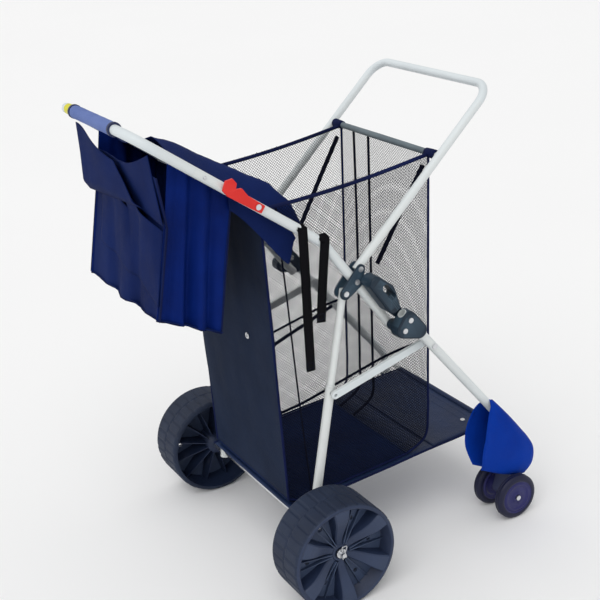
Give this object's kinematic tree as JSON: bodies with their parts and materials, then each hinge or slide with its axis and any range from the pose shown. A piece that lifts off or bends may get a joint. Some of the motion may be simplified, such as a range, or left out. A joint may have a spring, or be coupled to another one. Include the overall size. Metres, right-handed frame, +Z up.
{
  "type": "beach cart",
  "caption": "Folding beach cart: white tube frame, mesh basket with fabric shelf, tote and pole pouch, wide rear wheels and twin-wheel swivel casters.",
  "frame": {"origin": "on the ground, on the cart's middle plane, at the middle of its overall length", "axes": "+Z up, +Y forwards to the casters, +X to the cart's right"},
  "size_m": [0.67, 0.8258, 0.9997],
  "materials": {
    "white_powder_coat": "satin",
    "zinc_steel": "satin",
    "dark_plastic": "matte",
    "wheel_plastic": "matte",
    "caster_plastic": "matte",
    "blue_foam": "matte",
    "yellow_wrap": "satin",
    "red_plastic": "gloss",
    "navy_fabric": "matte",
    "blue_fabric": "matte",
    "navy_mesh": "matte",
    "black_webbing": "matte"
  },
  "bodies": {
    "lower_frame": {"lower_tube_right": "white_powder_coat", "lower_tube_left": "white_powder_coat", "caster_socket_right": "dark_plastic", "caster_socket_left": "dark_plastic", "latch_housing_right": "dark_plastic", "latch_housing_left": "dark_plastic", "latch_rivets": "zinc_steel", "front_cross_rod": "white_powder_coat", "brace_rivets": "zinc_steel", "shelf": "navy_fabric", "basket_rear_panel": "navy_fabric", "basket_front_panel": "navy_mesh", "basket_side_panel_right": "navy_mesh", "basket_side_panel_left": "navy_mesh", "basket_floor": "navy_fabric", "pole_pouch": "blue_fabric"},
    "handle": {"handle_side_right": "white_powder_coat", "handle_side_left": "white_powder_coat", "handle_bow": "white_powder_coat", "splice_spigots": "zinc_steel", "foam_grip": "blue_foam", "grip_rings": "dark_plastic", "label_sleeve": "yellow_wrap", "rear_rim_bar": "white_powder_coat", "knuckle_plates_right": "dark_plastic", "knuckle_plates_left": "dark_plastic", "knuckle_rivets": "zinc_steel", "hook_rivet": "zinc_steel", "tote": "blue_fabric", "strap_tail_rear": "black_webbing", "strap_tail_front": "black_webbing"},
    "rear_legs": {"rear_leg_upper_right": "white_powder_coat", "rear_leg_upper_left": "white_powder_coat", "rear_leg_lower_right": "white_powder_coat", "rear_leg_lower_left": "white_powder_coat", "leg_rivets": "zinc_steel", "axle": "zinc_steel", "axle_washers": "zinc_steel", "axle_clips": "zinc_steel"},
    "hoop": {"hoop": "white_powder_coat", "front_rim_rod": "white_powder_coat"},
    "side_braces": {"side_brace_right": "white_powder_coat", "side_brace_left": "white_powder_coat"},
    "hook_lever": {"hook_lever": "red_plastic"},
    "rear_wheel_right": {"rear_wheel_right": "wheel_plastic"},
    "caster_swivel_right": {"caster_fork_right": "dark_plastic", "caster_axle_right": "zinc_steel"},
    "caster_wheel_outer_right": {"caster_wheel_outer_right": "caster_plastic"},
    "caster_wheel_inner_right": {"caster_wheel_inner_right": "caster_plastic"},
    "latch_grip_right": {"latch_grip_right": "dark_plastic"},
    "snap_button_right": {"snap_button_right": "zinc_steel"},
    "rear_wheel_left": {"rear_wheel_left": "wheel_plastic"},
    "caster_swivel_left": {"caster_fork_left": "dark_plastic", "caster_axle_left": "zinc_steel"},
    "caster_wheel_outer_left": {"caster_wheel_outer_left": "caster_plastic"},
    "caster_wheel_inner_left": {"caster_wheel_inner_left": "caster_plastic"},
    "latch_grip_left": {"latch_grip_left": "dark_plastic"},
    "snap_button_left": {"snap_button_left": "zinc_steel"}
  },
  "joints": [
    {"name": "handle_fold", "type": "hinge", "parent": "lower_frame", "child": "handle", "pos_m": [0, 0.07347, 0.51075], "axis": [1, 0, 0], "range_deg": [0, 146], "deforming": ["shelf", "basket_rear_panel", "basket_front_panel", "basket_side_panel_right", "basket_side_panel_left", "basket_floor", "tote", "pole_pouch", "strap_tail_rear", "strap_tail_front"]},
    {"name": "leg_fold", "type": "hinge", "parent": "handle", "child": "rear_legs", "pos_m": [0, -0.02599, 0.60324], "axis": [-1, 0, 0], "range_deg": [0, 119]},
    {"name": "hoop_fold", "type": "hinge", "parent": "handle", "child": "hoop", "pos_m": [0, 0.01135, 0.64469], "axis": [1, 0, 0], "range_deg": [0, 79]},
    {"name": "brace_fold", "type": "hinge", "parent": "lower_frame", "child": "side_braces", "pos_m": [0, 0.14487, 0.4535], "axis": [1, 0, 0], "range_deg": [0, 81]},
    {"name": "hook_swing", "type": "hinge", "parent": "handle", "child": "hook_lever", "pos_m": [0.195, -0.19012, 0.81854], "axis": [-1, 0, 0], "range_deg": [0, 75]},
    {"name": "wheel_spin_right", "type": "hinge", "parent": "rear_legs", "child": "rear_wheel_right", "pos_m": [0.284, -0.14513, 0.1143], "axis": [1, 0, 0], "continuous": true},
    {"name": "caster_turn_right", "type": "hinge", "parent": "lower_frame", "child": "caster_swivel_right", "pos_m": [0.244, 0.33687, 0.11], "axis": [0, 0, 1], "continuous": true, "deforming": ["pole_pouch"]},
    {"name": "caster_spin_outer_right", "type": "hinge", "parent": "caster_swivel_right", "child": "caster_wheel_outer_right", "pos_m": [0.281, 0.31587, 0.0508], "axis": [1, 0, 0], "continuous": true},
    {"name": "caster_spin_inner_right", "type": "hinge", "parent": "caster_swivel_right", "child": "caster_wheel_inner_right", "pos_m": [0.207, 0.31587, 0.0508], "axis": [1, 0, 0], "continuous": true},
    {"name": "latch_release_right", "type": "hinge", "parent": "lower_frame", "child": "latch_grip_right", "pos_m": [0.224, 0.08809, 0.52941], "axis": [-1, 0, 0], "range_deg": [0, 25]},
    {"name": "snap_press_right", "type": "slide", "parent": "handle", "child": "snap_button_right", "axis": [-1, 0, 0], "range_m": [0, 0.0025], "stiffness_N_per_m": 400},
    {"name": "wheel_spin_left", "type": "hinge", "parent": "rear_legs", "child": "rear_wheel_left", "pos_m": [-0.284, -0.14513, 0.1143], "axis": [1, 0, 0], "continuous": true},
    {"name": "caster_turn_left", "type": "hinge", "parent": "lower_frame", "child": "caster_swivel_left", "pos_m": [-0.244, 0.33687, 0.11], "axis": [0, 0, 1], "continuous": true},
    {"name": "caster_spin_outer_left", "type": "hinge", "parent": "caster_swivel_left", "child": "caster_wheel_outer_left", "pos_m": [-0.281, 0.31587, 0.0508], "axis": [1, 0, 0], "continuous": true},
    {"name": "caster_spin_inner_left", "type": "hinge", "parent": "caster_swivel_left", "child": "caster_wheel_inner_left", "pos_m": [-0.207, 0.31587, 0.0508], "axis": [1, 0, 0], "continuous": true},
    {"name": "latch_release_left", "type": "hinge", "parent": "lower_frame", "child": "latch_grip_left", "pos_m": [-0.224, 0.08809, 0.52941], "axis": [-1, 0, 0], "range_deg": [0, 25]},
    {"name": "snap_press_left", "type": "slide", "parent": "handle", "child": "snap_button_left", "axis": [1, 0, 0], "range_m": [0, 0.0025], "stiffness_N_per_m": 400}
  ],
  "couplings": [
    {"joint": "leg_fold", "follows": "handle_fold", "ratio": 0.81},
    {"joint": "hoop_fold", "follows": "handle_fold", "ratio": 0.54},
    {"joint": "brace_fold", "follows": "handle_fold", "ratio": 0.55}
  ]
}
